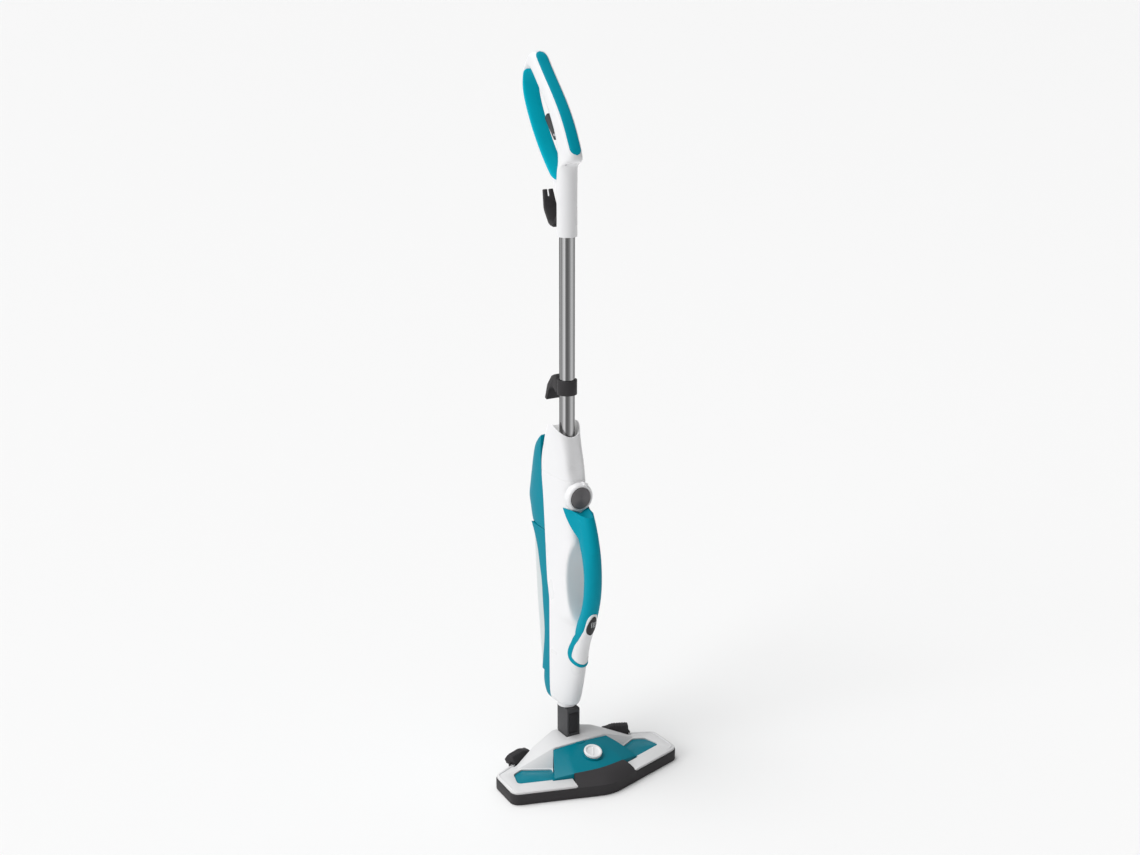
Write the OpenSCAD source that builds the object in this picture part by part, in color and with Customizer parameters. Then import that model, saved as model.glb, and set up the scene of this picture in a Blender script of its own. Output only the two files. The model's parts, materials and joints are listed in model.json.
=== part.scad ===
// Upright steam mop with a closed loop handle, a steel tube, a steam unit
// with a curved front grip, a tilting neck and a delta-shaped floor head.
// Millimetres. +Z is up, -Y is the front (nose, knob and grip), and the
// tube's axis is x = 0, y = 0 with the floor at z = 0.

/* [Floor head] */
// Width of the head across its two tips
head_w = 344; // [330:1:350]
// Distance from the tube axis to the nose
nose_y = 149; // [146:1:152]
// Height of the dark base frame
base_h = 18; // [17:0.5:19]
// Thickness of the white rim of the head cover
rim_t = 4; // [3.5:0.5:4.5]
// Height of the dome round the neck
dome_z = 49; // [48:0.5:50]
// Thickness of the sole plate
sole_t = 3; // [2.5:0.5:3]
// Height of the neck's tilt axis
tilt_z = 34; // [34:0.5:35]
// Radius of the tilt pin
tilt_pin_r = 4; // [3.5:0.25:4]

/* [Neck] */
// Width of the neck block
neck_w = 24; // [22:1:24]
// Depth of the neck block
neck_d = 34; // [32:1:34]
// Height of the neck block's top face
neck_top = 98; // [97:0.5:98]
// Radius of the round collar under the steam unit
collar_r = 16; // [15:0.5:17]
// Radius of the swivel spigot
spigot_r = 10; // [9:0.5:10]

/* [Steam unit] */
// Width of the steam unit's casing
body_w = 46; // [45:1:48]
// Wall thickness of the casing
wall = 2.4; // [2:0.2:2.6]
// Height of the steam knob's axis
knob_z = 478; // [476:1:480]
// Radius of the steam knob
knob_r = 17.5; // [16:0.5:18]
// Width of the front grip
grip_w = 28; // [26:1:30]
// Travel of the steam button
button_travel = 2.5; // [2:0.5:3]

/* [Tube and handle] */
// Outer radius of the steel tube
tube_r = 12.5; // [12:0.25:12.5]
// Wall thickness of the steel tube
tube_wall = 1.2; // [1:0.1:1.5]
// Outer radius of the handle's sleeve
sleeve_r = 16; // [15.5:0.25:16.5]
// Height of the sleeve's lower end
sleeve_z = 893; // [885:1:900]
// Width of the handle loop
loop_w = 30; // [29:1:32]
// Width of the two cord hooks
hook_w = 24; // [20:1:26]

/* [Hidden] */
$fn = 48;
arc_steps = 5;
gap = 0.3;       // clearance between pieces that move past each other
run = 0.05;      // radial clearance of a running fit
WHITE = "whitesmoke";
TEAL = "darkcyan";
DARK = "dimgray";
STEEL = "silver";

// ---- outlines -------------------------------------------------------------
function unit(v) = v / norm(v);
function flat(p) = [p[0], p[1]];
function straight(a, b, c) = norm(unit(flat(a) - flat(b)) + unit(flat(c) - flat(b))) < 0.01;
function turn(a) = a > 180 ? a - 360 : a < -180 ? a + 360 : a;
function at(pts, i) = pts[(i + len(pts)) % len(pts)];

// The arc that rounds corner b, between a and c, to radius r.
function corner(a, b, c, r) =
  let (
    u = unit(a - b),
    v = unit(c - b),
    half = acos(max(-1, min(1, u * v))) / 2,
    mid = b + unit(u + v) * (r / sin(half)),
    p = b + u * (r / tan(half)) - mid,
    q = b + v * (r / tan(half)) - mid,
    from = atan2(p.y, p.x),
    sweep = turn(atan2(q.y, q.x) - from)
  )
  [for (k = [0:arc_steps]) mid + r * [cos(from + sweep * k / arc_steps),
      sin(from + sweep * k / arc_steps)]];

// A polygon from [x, y, radius] corners.
function rounded(pts) = [
  for (i = [0:len(pts) - 1])
    each len(pts[i]) < 3 || pts[i][2] == 0 || straight(at(pts, i - 1), pts[i], at(pts, i + 1))
      ? [flat(pts[i])]
      : corner(flat(at(pts, i - 1)), flat(pts[i]), flat(at(pts, i + 1)), pts[i][2])
];

// The same corners moved inwards by t, for anticlockwise outlines.
function inset(pts, t) = [
  for (i = [0:len(pts) - 1])
    let (
      b = flat(pts[i]),
      u = unit(flat(at(pts, i - 1)) - b),
      v = unit(flat(at(pts, i + 1)) - b),
      na = [u.y, -u.x],
      nb = [-v.y, v.x],
      m = unit(na + nb),
      p = b + m * (t / (m * na)),
      convex = cross(u, v) < 0,
      r = len(pts[i]) < 3 ? 0 : pts[i][2]
    )
    [p.x, p.y, r == 0 ? 0 : max(0.5, convex ? r - t : r + t)]
];

// Points of the +X half, then the same points on the -X half.
function mirrored(pts) = concat(pts, [
  for (i = [len(pts) - 1:-1:0]) if (pts[i].x != 0)
    len(pts[i]) < 3 ? [-pts[i].x, pts[i].y] : [-pts[i].x, pts[i].y, pts[i].z]
]);

// An outline in the YZ plane, extruded along X from x0 to x1.
module side(pts, x0, x1) {
  translate([x0, 0, 0]) rotate([90, 0, 90]) linear_extrude(x1 - x0) polygon(pts);
}

// The same, with its two long edges stepped in to round them by about r.
module soft(pts, half, r) {
  side(rounded(pts), -(half - r), half - r);
  side(rounded(inset(pts, 0.3 * r)), -(half - 0.3 * r), half - 0.3 * r);
  side(rounded(inset(pts, r)), -half, half);
}

// A cylinder along X or Y, starting at p.
module rod_x(p, r, h) {
  translate(p) rotate([0, 90, 0]) cylinder(r = r, h = h);
}
module rod_y(p, r, h) {
  translate(p) rotate([-90, 0, 0]) cylinder(r = r, h = h);
}

// A coil drawn as a stack of rings joined by a thin core wall.
module spring(r, wire, h) {
  difference() {
    union() {
      cylinder(r = r, h = h);
      for (k = [0:4]) translate([0, 0, k * (h - wire) / 4]) cylinder(r = r + wire / 2, h = wire);
    }
    translate([0, 0, -1]) cylinder(r = r - wire / 2, h = h + 2);
  }
}

// ---- floor head -------------------------------------------------------------
half_w = head_w / 2;
head_outline = mirrored([
  [0, -nose_y, 60], [half_w - 14, -101, 16], [half_w - 17, -32, 15], [32, 25, 20]
]);
sole_outline = inset(head_outline, 9);
rim_outline = inset(head_outline, 1.5);
rim_z = base_h + rim_t;
tilt_y = -5;
window = [[74, -95, 2], [136, -76, 7], [127, -45, 8], [108, -37, 8], [64, -60, 3]];
bumper_plan = [[-56, -152], [56, -152], [56, -137], [46, -105], [0, -112], [-46, -105], [-56, -137]];
screw_spots = [for (s = [-1, 1]) each [[s * 40, -100], [s * 130, -70], [s * 84, -20]]];

module base_frame() {
  color(DARK) difference() {
    union() {
      linear_extrude(base_h) polygon(rounded(head_outline));
      // lugs for the pedals' pins
      for (s = [-1, 1]) pedal_frame(s) for (e = [-1, 1])
        translate([e * 23.7 - 1.1, -3, base_h - pedal_z - 1]) cube([2.2, 11, pedal_z - base_h + 3.5]);
    }
    for (s = [-1, 1]) pedal_frame(s) rod_x([-30, 0, 0], 1.5, 60);
    translate([0, 0, -1]) linear_extrude(sole_t + 1) polygon(rounded(inset(head_outline, 8.7)));
    difference() {
      translate([0, 0, 6]) linear_extrude(base_h) polygon(rounded(inset(head_outline, 3)));
      for (p = screw_spots) translate([p.x, p.y, 0]) cylinder(r = 4.5, h = base_h);
    }
    for (p = screw_spots) translate([p.x, p.y, -1]) cylinder(r = 1.6, h = base_h + 2);
    for (p = screw_spots) translate([p.x, p.y, -1]) cylinder(r = 3.2, h = 6);
  }
}

module sole_plate() {
  color(STEEL) difference() {
    linear_extrude(sole_t) polygon(rounded(sole_outline));
    for (i = [-6:6]) translate([i * 19, -112 + abs(i) * 5.5, -1]) cylinder(r = 1.5, h = sole_t + 2);
    for (i = [-5:5]) translate([i * 17, -55 + abs(i) * 3, -1]) cylinder(r = 1.5, h = sole_t + 2);
    for (p = screw_spots) translate([p.x, p.y, -1]) cylinder(r = 4, h = sole_t + 2);
  }
}

// The dome: z sections joined from the rim up to the plateau at the neck.
module dome(t) {
  hull() {
    translate([0, 0, base_h + 1]) linear_extrude(rim_t - 1)
      polygon(mirrored([[0, -64 + t], [60 - t, -60 + t], [112 - t, -33], [104 - t, -10], [26, 24 - t]]));
    translate([0, 0, 36 - t]) linear_extrude(0.5)
      polygon(mirrored([[0, -56 + t], [54 - t, -54 + t], [78 - t, -34], [72 - t, -6], [24, 18 - t]]));
    translate([0, 0, dome_z - t - 0.5]) linear_extrude(0.5)
      polygon(mirrored([[0, -42 + t], [47 - t, -42 + t], [45 - t, -2], [22, 12 - t]]));
  }
}

module head_cover() {
  color(WHITE) difference() {
    union() {
      translate([0, 0, base_h]) linear_extrude(rim_t) polygon(rounded(rim_outline));
      dome(0);
    }
    dome(wall);
    translate([0, 0, base_h - 1]) linear_extrude(2)
      polygon(mirrored([[0, -60], [58, -58], [100, -33], [94, -14], [26, 14]]));
    // two windows and the bay for the teal panel and the nose
    for (s = [0, 1]) mirror([s, 0, 0])
      translate([0, 0, base_h - 1]) linear_extrude(rim_t + 2) polygon(rounded(window));
    translate([0, 0, base_h - 1]) linear_extrude(40)
      polygon([[-82, -96], [-50, -105], [-60, -160], [60, -160], [50, -105], [82, -96], [51, -43],
          [-51, -43]]);
    // slot that the neck swings through
    translate([-neck_w / 2 - 1, -24, base_h - 1]) cube([neck_w + 2, 60, 50]);
    // bays for the two pedals
    for (s = [-1, 1]) pedal_frame(s) translate([-26.5, -6, -5]) cube([53, 60, 40]);
  }
}

// Raised centre of the teal panel: one sloping plate, thickness t below its top.
panel_top = [[-50, -43.5, 45], [0, -43.5, 50], [50, -43.5, 45], [80, -94.5, 24], [46, -104.5, 31], [0,
    -111.5, 32],
             [-46, -104.5, 31], [-80, -94.5, 24]];
module head_panel() {
  color(TEAL) difference() {
    union() {
      hull() {
        for (p = panel_top) translate([p.x, p.y, 19]) cylinder(r = 0.01, h = p.z - 19, $fn = 13);
      }
      translate(disc_at) rotate([disc_tilt, 0, 0]) translate([0, 0, -8]) cylinder(r = 15.5, h = 9);
      for (s = [0, 1]) mirror([s, 0, 0]) translate([0, 0, base_h]) linear_extrude(2)
        polygon(rounded(inset(window, 0.2)));
    }
    hull() {
      for (p = panel_top) translate([p.x * 0.93, (p.y + 74) * 0.88 - 74, 10])
        cylinder(r = 0.01, h = p.z - 13, $fn = 13);
    }
    translate(disc_at) rotate([disc_tilt, 0, 0]) translate([0, 0, -20]) cylinder(r = 5 + run, h = 40);
  }
}

module front_bumper() {
  color(DARK) difference() {
    intersection() {
      hull() {
        translate([0, 0, base_h]) linear_extrude(3) polygon(bumper_plan);
        translate([0, 0, 28]) linear_extrude(3)
          polygon([[-45, -106], [0, -113], [45, -106], [42, -122], [0, -130], [-42, -122]]);
      }
      translate([0, 0, base_h]) linear_extrude(20) polygon(rounded(inset(head_outline, 0.6)));
    }
    translate([0, 0, 7]) scale([0.9, 0.96, 1]) linear_extrude(18) polygon(bumper_plan);
    translate([0, 0, 10]) linear_extrude(40)
      polygon([[-47.5, -80], [-46.5, -104.9], [0, -112], [46.5, -104.9], [47.5, -80]]);
  }
}

// The duct that spreads the steam over the sole plate, or lets it out at the nose.
module steam_distributor() {
  color(DARK) difference() {
    union() {
      translate([-34, -96, 6]) cube([68, 46, 6]);
      translate([0, -78, 6]) cylinder(r = 9, h = 16);
      rod_y([0, -78, 14], 4, 32);
    }
    translate([0, -78, 8]) cylinder(r = 5.6, h = 20);
    rod_y([0, -70, 14], 2.5, 30);
    translate([-31, -93, 8]) cube([62, 40, 2]);
  }
}

module head_screws() {
  color(STEEL) for (p = screw_spots) translate([p.x, p.y, 3.6]) {
    cylinder(r = 3, h = 1.4);
    cylinder(r = 1.5, h = 13);
  }
}

module hinge_bracket() {
  color(STEEL) difference() {
    union() {
      translate([-22, tilt_y - 14, 6]) cube([44, 28, 3]);
      for (s = [-1, 1]) translate([s * 16 - 2.5, tilt_y - 8, 6]) cube([5, 16, tilt_z - 6]);
      for (s = [-1, 1]) rod_x([s * 16 - 2.5, tilt_y, tilt_z], 8, 5);
    }
    rod_x([-30, tilt_y, tilt_z], tilt_pin_r, 60);
  }
}

module tilt_pin() {
  color(STEEL) rod_x([-19.5, tilt_y, tilt_z], tilt_pin_r, 39);
}

// ---- cloth-clamp pedals -----------------------------------------------------
pedal_y = -8;
pedal_z = 22;
pedal_sweep = 22;
module pedal_frame(s) {
  translate([s * 92, pedal_y, pedal_z]) rotate([0, 0, -s * pedal_sweep]) children();
}

module pedal() {
  color(DARK) difference() {
    union() {
      side(rounded([[-4, -2.5, 1], [14, -2.5, 2], [19, 4, 2], [12, 14, 3], [2, 13, 3], [-4, 3, 2]]),
          -22, 22);
      rod_x([-22, 0, 0], 3.2, 44);
    }
    rod_x([-30, 0, 0], 1.5 + run, 60);
    for (x = [-15:6:15]) translate([x, 2, 12.6]) cube([1.6, 10, 4]);
    translate([-6, -6, -5]) cube([12, 12, 10]);
  }
}

module pedal_left() {
  pedal_frame(-1) pedal();
}
module pedal_right() {
  pedal_frame(1) pedal();
}

module pedal_pins() {
  color(STEEL) for (s = [-1, 1]) pedal_frame(s) rod_x([-24.8, 0, 0], 1.5, 49.6);
}

module pedal_spring() {
  color(STEEL) difference() {
    rod_x([-4.5, 0, 0], 3, 9);
    rod_x([-6, 0, 0], 1.8, 12);
  }
}
module pedal_spring_left() {
  pedal_frame(-1) pedal_spring();
}
module pedal_spring_right() {
  pedal_frame(1) pedal_spring();
}

// ---- selector knob ------------------------------------------------------------
disc_tilt = 18;
disc_at = [3, -80, 42];
module selector_knob() {
  color(WHITE) translate(disc_at) rotate([disc_tilt, 0, 0]) {
    translate([0, 0, 1.5]) cylinder(r = 14, h = 6);
    translate([-2, -11, 7]) cube([4, 22, 2.5]);
    translate([0, 0, -14]) cylinder(r = 5, h = 16);
  }
}

// ---- neck -----------------------------------------------------------------------
neck_y0 = tilt_y - neck_d / 2;
latch_z = 72;
module neck_block() {
  color(DARK) difference() {
    union() {
      side(rounded([[neck_y0, 44, 4], [neck_y0, neck_top, 3], [neck_y0 + neck_d, neck_top, 3],
                    [neck_y0 + neck_d, 44, 8]]), -neck_w / 2, neck_w / 2);
      rod_x([-neck_w / 2, tilt_y, tilt_z], 14, neck_w);
      translate([0, 0, neck_top - 8]) cylinder(r = spigot_r, h = 122 - neck_top + 8);
      translate([0, 0, 112]) cylinder(r = spigot_r - 1, h = 18);
    }
    rod_x([-30, tilt_y, tilt_z], tilt_pin_r + run, 60);
    translate([0, 0, 54]) cylinder(r = 4, h = 90);
    // bay for the latch button
    translate([-8.3, neck_y0 - 1, latch_z - 18.3]) cube([16.6, 8, 36.6]);
    rod_y([0, neck_y0 + 5, latch_z], 4.2, 9);
    // groove for the seal
    translate([0, 0, 119]) difference() {
      cylinder(r = spigot_r + 1, h = 3.2);
      translate([0, 0, -1]) cylinder(r = spigot_r - 2, h = 6);
    }
  }
}

module neck_latch_button() {
  color(DARK) difference() {
    union() {
      side([[neck_y0 - 0.8, latch_z - 14], [neck_y0 - 0.8, latch_z + 14], [neck_y0 + 1, latch_z + 18],
            [neck_y0 + 3.4, latch_z + 18], [neck_y0 + 3.4, latch_z - 18], [neck_y0 + 1,
                latch_z - 18]], -8, 8);
      rod_y([0, neck_y0 + 2, latch_z], 2, 5);
    }
  }
}

module neck_latch_spring() {
  color(STEEL) translate([0, neck_y0 + 3.6, latch_z]) rotate([-90, 0, 0]) spring(3, 0.8, 10);
}

module neck_seal() {
  color("black") translate([0, 0, 120.6]) rotate_extrude() translate([spigot_r - 0.75,
      0]) circle(r = 1.2);
}

// ---- steam unit ------------------------------------------------------------------
half_b = body_w / 2;
edge = 12;       // rounding of the casing's long edges
// Front line, then the seam with the rear shell, anticlockwise seen from +X.
front_profile = [
  [16, 102, 2], [17, 121, 20], [18, 285, 60], [26, 318, 80], [32, 386, 80], [38, 454, 80], [46, 537,
      10], [44, 557, 10],
  [31, 588, 3], [-16, 588, 3], [-22, 562, 30], [-31, 520, 60], [-40, 470, 30], [-49, 405, 6],
  [-36, 372, 40], [-36, 308, 40], [-56, 266, 8], [-60, 236, 20], [-50, 180, 30], [-37, 135, 20], [-21,
      104, 4]
];
rear_envelope = [
  [16, 102, 2], [30, 102, 12], [50, 128, 20], [45, 164, 20], [38, 222, 60], [44, 274, 60], [54, 335,
      60], [70, 385, 20],
  [92, 403.5, 2], [105, 446, 18], [90, 500, 30], [76, 540, 15], [47, 563, 2],
  [46, 537, 10], [38, 454, 80], [32, 386, 80], [26, 318, 80], [18, 285, 60], [17, 121, 20]
];
// The two side walls that flank the tank.
wing_profile = [
  [24, 110], [32, 106], [49, 130], [44, 164], [37.5, 222], [43.5, 274], [53.5, 335], [76, 396], [70,
      400], [42, 330],
  [26, 280]
];

// What the casing stays inside: the round mouth at the top, and the narrow ends seen from the front.
module casing_room(t) {
  intersection() {
    union() {
      translate([-60, -120, 90]) cube([120, 240, 410]);
      hull() {
        translate([0, 0, 499]) linear_extrude(1) polygon(rounded(mirrored([
          [0, -48 + t, 0], [half_b - t, -48 + t, 18], [half_b - t, 60 - t, 4], [0, 60 - t, 0]])));
        translate([0, 9, 595]) linear_extrude(1) scale([24.5 - t, 27 - t]) circle(r = 1);
      }
    }
    translate([0, 200, 0]) rotate([90, 0, 0]) linear_extrude(400) polygon(rounded(mirrored([
      [0, 90, 0], [19 - t, 90, 2], [half_b - 1 - t, 190, 90], [half_b - t, 420, 90], [25 - t, 600, 0],
          [0, 600, 0]])));
  }
}

screw_bosses = [for (x = [-17, 17]) each [[x, 130], [x, 262]]];
seam_side = [[16, 103], [17, 121, 20], [18, 285, 60], [26, 318, 80], [32, 386, 80], [38, 454, 80],
    [45, 530], [10, 530],
             [0, 103]];

module body_front_shell() {
  color(WHITE) difference() {
    intersection() {
      union() {
        soft(front_profile, half_b, edge);
        // the seam side stays full width, so it meets the rear shell
        side(rounded(seam_side), -half_b, half_b);
      }
      casing_room(0);
    }
    difference() {
      intersection() {
        union() {
          soft(inset(front_profile, wall), half_b - wall, edge);
          side([[10, 106], [40, 106], [60, 526], [24, 526], [10, 300]], -half_b + wall, half_b - wall);
        }
        casing_room(wall);
      }
      for (p = screw_bosses) rod_y([p.x, -40, p.y], 3.5, 56);
    }
    for (p = screw_bosses) rod_y([p.x, 4, p.y], 1.5, 30);
    // the steam knob's shaft
    rod_y([0, -60, knob_z], 6 + 0.2, 40);
    // saddle-shaped mouth round the tube, and the way down to the neck
    translate([0, 6, 560]) cylinder(r = 20, h = 60);
    side([[-60, 576], [-20, 572], [0, 592], [12, 592], [40, 582], [60, 582], [60, 620], [-60, 620]],
        -60, 60);
    translate([0, 0, 90]) cylinder(r = collar_r - 2, h = 30);
  }
}

rear_half = half_b - 0.6;
module body_rear_shell() {
  color(TEAL) difference() {
    union() {
      soft(rear_envelope, rear_half, 5);
      for (s = [-1, 1]) translate([s * (rear_half - 1.8), 0, 0]) side(wing_profile, -1.2, 1.2);
    }
    // bay of the water tank, between the two wings
    side([[27, 151.5], [200, 151.5], [200, 403.5], [52, 403.5], [32, 340], [27, 300]], -rear_half + 3,
        rear_half - 3);
    // hollow of the upper bulge, of the seam side and of the foot
    soft(inset([[44, 406, 0], [88, 406, 4], [102, 446, 18], [88, 500, 30], [74, 538, 15], [42, 552,
        2]], 1),
         rear_half - 3, 5);
    side([[0, 104], [24, 104], [24, 300], [29, 340], [46, 404], [46, 535], [30, 535], [0, 300]],
         -rear_half + 3, rear_half - 3);
    side([[18, 105.5], [30, 106], [45, 128], [42, 148], [18, 148]], -rear_half + 3, rear_half - 3);
    for (p = screw_bosses) rod_y([p.x, 10, p.y], 1.5, 25);
    gland_frame() translate([0, 0, -16]) cylinder(r = 6.1, h = 30);
    // window for the tank latch
    translate([-8.3, 80, 398]) cube([16.6, 7.4, 12]);
    // hole for the tank coupling
    rod_y([0, 10, 172], 5.2, 30);
  }
}

module outlet_collar() {
  color(WHITE) difference() {
    union() {
      translate([0, 0, 99]) cylinder(r = collar_r - 3, h = 36);
      translate([0, 0, 98.6]) cylinder(r1 = collar_r - 1, r2 = collar_r, h = 3);
    }
    translate([0, 0, 90]) cylinder(r = spigot_r + run, h = 33);
    translate([0, 0, 90]) cylinder(r = 3, h = 60);
    translate([0, 0, 119]) cylinder(r = spigot_r + 0.5, h = 12);
  }
}

grip_outer = [[-49.4, 405, 0], [-44.5, 440, 0], [-41.5, 462, 0], [-52, 478, 4], [-64, 470, 20], [-82,
    440, 60],
              [-96, 385, 60], [-96, 330, 60], [-84, 280, 30], [-76, 262, 0], [-60.6, 238, 0], [-57.6,
                  264, 2],
              [-60, 276, 8], [-69, 320, 60], [-69, 362, 60]];
module grip() {
  color(TEAL) difference() {
    soft(grip_outer, grip_w / 2, 8);
    // round the knob's bezel
    rod_y([0, -80, knob_z], 22.3, 60);
    // bed of the white pad, and the hollow behind the steam button
    side([[-110, 300], [-85, 290], [-76, 262], [-60.5, 237], [-110, 200]], -11.2, 11.2);
    in_pad(button_c) {
      translate([-6.5, -9, -16]) cube([13, 18, 30]);
      translate([-6.5, -12.5, -7]) cube([13, 25, 21]);
    }
  }
}

pad_top = [-90, 292];
pad_foot = [-62, 203];
button_c = pad_top + unit(pad_foot - pad_top) * 21;
module grip_pad() {
  color(WHITE) difference() {
    side([[-85.2, 290], [-90, 292], [-62, 203], [-58.5, 203], [-60.9, 237], [-76.2, 262]], -11, 11);
    in_pad(button_c) translate([0, 0, -20]) linear_extrude(40) scale([1, 2]) circle(r = 6.3);
  }
}

// Frame whose z axis points out of the pad at p, and whose y axis runs up it.
module in_pad(p) {
  translate([0, p.x, p.y]) rotate([90 + 17.5, 0, 0]) children();
}

module steam_button() {
  color("black") in_pad(button_c) translate([0, 0, -4]) intersection() {
    linear_extrude(6.5) scale([1, 2]) circle(r = 6);
    translate([0, 0, -30]) sphere(r = 37, $fn = 64);
  }
}
module steam_button_spring() {
  color(STEEL) in_pad(button_c) translate([0, 0, -10.5]) spring(3, 0.7, 6);
}
module button_switch() {
  color("black") in_pad(button_c) translate([-5, -5, -14.5]) cube([10, 10, 3.8]);
}

module knob_bezel() {
  color(WHITE) difference() {
    rod_y([0, -42, knob_z], 22, 16);
    rod_y([0, -46, knob_z], 6.2, 30);
    rod_y([0, -46, knob_z], 18.2, 5.5);
    side(rounded(front_profile), -30, 30);
  }
}
module steam_knob() {
  color(DARK) {
    rod_y([0, -50, knob_z], knob_r, 8.2);
    rod_y([0, -42, knob_z], 6, 24);
    translate([-1.6, -52, knob_z - 14]) cube([3.2, 3, 28]);
  }
}

module boiler() {
  color(STEEL) difference() {
    union() {
      translate([-14, -22, 140]) cube([28, 34, 90]);
      rod_y([0, -24, 185], 9, 38);
    }
    translate([-10, -18, 144]) cube([20, 26, 82]);
    translate([0, -5, 130]) cylinder(r = 3, h = 20);
  }
}
module pump() {
  color(STEEL) {
    translate([0, -6, 300]) cylinder(r = 13, h = 46);
    translate([0, -6, 346]) cylinder(r = 6, h = 16);
    translate([-12, -18, 290]) cube([24, 24, 10]);
  }
}
module thermostat() {
  color("black") {
    rod_y([9, 12.2, 210], 5, 3);
    translate([6, 12.2, 203]) cube([6, 2, 4]);
  }
}
module tube_socket() {
  color("lightgray") difference() {
    union() {
      translate([0, 0, 494]) cylinder(r = 17, h = 74);
      translate([-half_b + wall, -10, 520]) cube([body_w - 2 * wall, 20, 6]);
    }
    translate([0, 0, 498]) cylinder(r = tube_r + 0.1, h = 90);
    translate([0, 0, 480]) cylinder(r = 5, h = 40);
  }
}
// Frame whose -z axis is the way the supply cord would leave, back and down.
module gland_frame() {
  translate([8, 84, 500]) rotate([60, 0, 0]) children();
}
module cord_gland() {
  color("black") gland_frame() difference() {
    translate([0, 0, -13]) cylinder(r = 6, h = 15);
    translate([0, 0, -30]) cylinder(r = 3.5, h = 40);
  }
}

module water_hose() {
  color("white") {
    translate([0, 17, 168]) cylinder(r = 3, h = 128);
    rod_y([0, 15, 172], 5, 15);
    rod_y([0, 6.2, 293], 4, 12);
  }
}
module steam_hose() {
  color("white") translate([0, 0, 135.2]) cylinder(r = 4, h = 4.6);
}
module trigger_switch() {
  color("black") {
    translate([-7, -7, 470]) cube([14, 14, 22]);
    translate([0, 0, 492]) cylinder(r = 2.5, h = 8);
  }
}
module body_screws() {
  color(STEEL) for (p = screw_bosses) {
    rod_y([p.x, 4.2, p.y], 1.5, 22.8);
    rod_y([p.x, 27, p.y], 2.2, 1.2);
  }
}

// ---- water tank ----------------------------------------------------------------
tank_profile = [
  [28, 152, 3], [52, 152, 5], [56, 165, 20], [69, 228, 80], [78, 297, 80], [82, 360, 40], [82, 402,
      4], [62, 402, 4],
  [34, 338, 20], [28.4, 300, 20]
];
tank_half = half_b - 4;
cap_z = 372;
module water_tank() {
  color("gainsboro") difference() {
    soft(tank_profile, tank_half, 6);
    side(rounded(inset(tank_profile, 2)), -tank_half + 2, tank_half - 2);
    rod_y([0, 70, cap_z], 11.2, 20);
    translate([-7, 79, 399.4]) cube([14, 8, 4]);
    rod_y([0, 20, 172], 5.2, 12);
  }
}
module tank_cap() {
  color(DARK) {
    rod_y([0, 76, cap_z], 11.1, 6.5);
    rod_y([0, 82.3, cap_z], 12.8, 2);
    translate([-9.5, 84, cap_z - 1.5]) cube([19, 2.4, 3]);
  }
}
module tank_cap_seal() {
  color("black") difference() {
    rod_y([0, 74.2, cap_z], 10.8, 1.8);
    rod_y([0, 70, cap_z], 8, 10);
  }
}
module tank_latch() {
  color(TEAL) difference() {
    translate([-8, 80.4, 402.5]) cube([16, 6.8, 14]);
    translate([-9, 85.6, 404.5]) cube([18, 3, 2]);
  }
}
module tank_latch_spring() {
  color(STEEL) translate([0, 83.8, 417]) spring(2.6, 0.7, 12);
}

// ---- tube and handle --------------------------------------------------------------
tube_z0 = 500;
tube_z1 = 985;
module tube() {
  color(STEEL) difference() {
    translate([0, 0, tube_z0]) cylinder(r = tube_r, h = tube_z1 - tube_z0);
    translate([0, 0, tube_z0 - 1]) cylinder(r = tube_r - tube_wall, h = tube_z1 - tube_z0 + 2);
  }
}

// Loop outline in YZ, anticlockwise seen from +X, with the sleeve's head at its foot.
loop_outer = [
  [-14, 990, 2], [14, 968, 6], [52, 1002, 60], [98, 1060, 60], [120, 1108, 30], [117, 1142, 20], [86,
      1173, 5],
  [72, 1152, 20], [24, 1104, 60], [-10, 1058, 50], [-33, 1014, 6], [-15, 1006, 3]
];
loop_hole = [
  [13, 984, 5], [22, 976, 4], [62, 1024, 60], [98, 1078, 40], [110, 1106, 14], [102, 1140, 10], [62,
      1104, 60],
  [20, 1048, 60]
];
// Part of the outline that the teal front strip covers, and the lining of the back branch.
strip_zone = [[-60, 1021], [-5, 1021], [5, 1050], [60, 1120], [88, 1155], [88, 1200], [-60, 1200]];
lining_zone = [[14, 960], [140, 960], [140, 1127], [106, 1127], [80, 1090], [30, 1010]];
handle_screw_spots = [[-15, 1006], [86, 1150], [58, 1013]];
pivot_y = 20;
pivot_z = 1046;
trigger_bay = [[-8, 1032], [30, 1032], [62, 1070], [40, 1100], [4, 1062], [-8, 1048]];

// The outer t millimetres of the loop's front branch, w either side of the middle.
module front_strip(w, t) {
  difference() {
    intersection() {
      side(rounded(loop_outer), -w, w);
      side(strip_zone, -w, w);
    }
    side(rounded(inset(loop_outer, t)), -w - 1, w + 1);
  }
}

module handle_half(s) {
  color(WHITE) difference() {
    intersection() {
      union() {
        soft(loop_outer, loop_w / 2, 5);
        translate([0, 0, sleeve_z]) cylinder(r = sleeve_r, h = 104);
      }
      translate([s < 0 ? -40 : 0.05, -60, sleeve_z - 10]) cube([39.95, 200, 320]);
    }
    side(rounded(loop_hole), -40, 40);
    front_strip(10.1, 3.1);
    // room for the tube, the control rod and the trigger
    translate([0, 0, sleeve_z - 1]) cylinder(r = tube_r, h = tube_z1 - sleeve_z + 1.5);
    translate([0, 0, 980]) cylinder(r = 5, h = 66);
    side(trigger_bay, -7.5, 7.5);
    rod_x([-12, pivot_y, pivot_z], 2, 24);
    rod_y([0, 5, 915], 5, 40);
    for (p = handle_screw_spots) {
      rod_x([-10.5, p.x, p.y], 1.6, 21);
      rod_x([-20, p.x, p.y], 3, 9.6);
    }
  }
}
module handle_shell_left() {
  handle_half(-1);
}
module handle_shell_right() {
  handle_half(1);
}
module handle_front_grip() {
  color(TEAL) front_strip(10, 3);
}
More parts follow.
